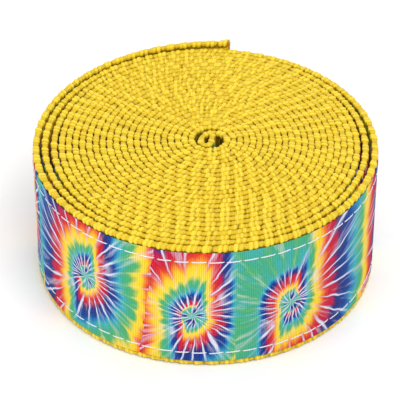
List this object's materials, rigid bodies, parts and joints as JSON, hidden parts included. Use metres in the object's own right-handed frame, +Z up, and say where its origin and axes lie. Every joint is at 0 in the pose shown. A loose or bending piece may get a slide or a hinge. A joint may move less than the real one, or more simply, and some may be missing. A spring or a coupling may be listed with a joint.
{
  "type": "rolled decorated web strap",
  "caption": "Woven webbing strap with a printed ribbon sewn along its outer face, wound into a flat roll that stands on its edge, its free tail able to peel off.",
  "frame": {"origin": "middle of the roll's footprint, on the surface it stands on", "axes": "+Z up along the roll's axis; the strap's outer end lies at the back, +Y, and the front is -Y"},
  "size_m": [0.0894, 0.0909, 0.0393],
  "materials": {
    "yellow_webbing": "woven polypropylene, soft sheen",
    "printed_ribbon": "matt grosgrain with a multicoloured tie-dye print",
    "white_thread": "twisted polyester thread"
  },
  "bodies": {
    "roll": {"webbing_roll": "yellow_webbing", "ribbon_roll": "printed_ribbon", "upper_needle_thread_roll": "white_thread", "lower_needle_thread_roll": "white_thread", "upper_bobbin_thread_roll": "white_thread", "lower_bobbin_thread_roll": "white_thread"},
    "tail_1": {"webbing_tail_1": "yellow_webbing", "ribbon_tail_1": "printed_ribbon", "upper_needle_thread_tail_1": "white_thread", "lower_needle_thread_tail_1": "white_thread", "upper_bobbin_thread_tail_1": "white_thread", "lower_bobbin_thread_tail_1": "white_thread"},
    "tail_2": {"webbing_tail_2": "yellow_webbing", "ribbon_tail_2": "printed_ribbon", "upper_needle_thread_tail_2": "white_thread", "lower_needle_thread_tail_2": "white_thread", "upper_bobbin_thread_tail_2": "white_thread", "lower_bobbin_thread_tail_2": "white_thread"},
    "tail_3": {"webbing_tail_3": "yellow_webbing", "ribbon_tail_3": "printed_ribbon", "upper_needle_thread_tail_3": "white_thread", "lower_needle_thread_tail_3": "white_thread", "upper_bobbin_thread_tail_3": "white_thread", "lower_bobbin_thread_tail_3": "white_thread"}
  },
  "joints": [
    {"name": "tail_1_bend", "type": "hinge", "parent": "roll", "child": "tail_1", "pos_m": [-0.0447, 0.00558, 0], "axis": [0, 0, 1], "range_deg": [0, 30]},
    {"name": "tail_2_bend", "type": "hinge", "parent": "tail_1", "child": "tail_2", "pos_m": [-0.0356, 0.02739, 0], "axis": [0, 0, 1], "range_deg": [0, 30]},
    {"name": "tail_3_bend", "type": "hinge", "parent": "tail_2", "child": "tail_3", "pos_m": [-0.01679, 0.04185, 0], "axis": [0, 0, 1], "range_deg": [0, 30]}
  ],
  "couplings": [
    {"joint": "tail_2_bend", "follows": "tail_1_bend", "ratio": 1},
    {"joint": "tail_3_bend", "follows": "tail_1_bend", "ratio": 1}
  ]
}
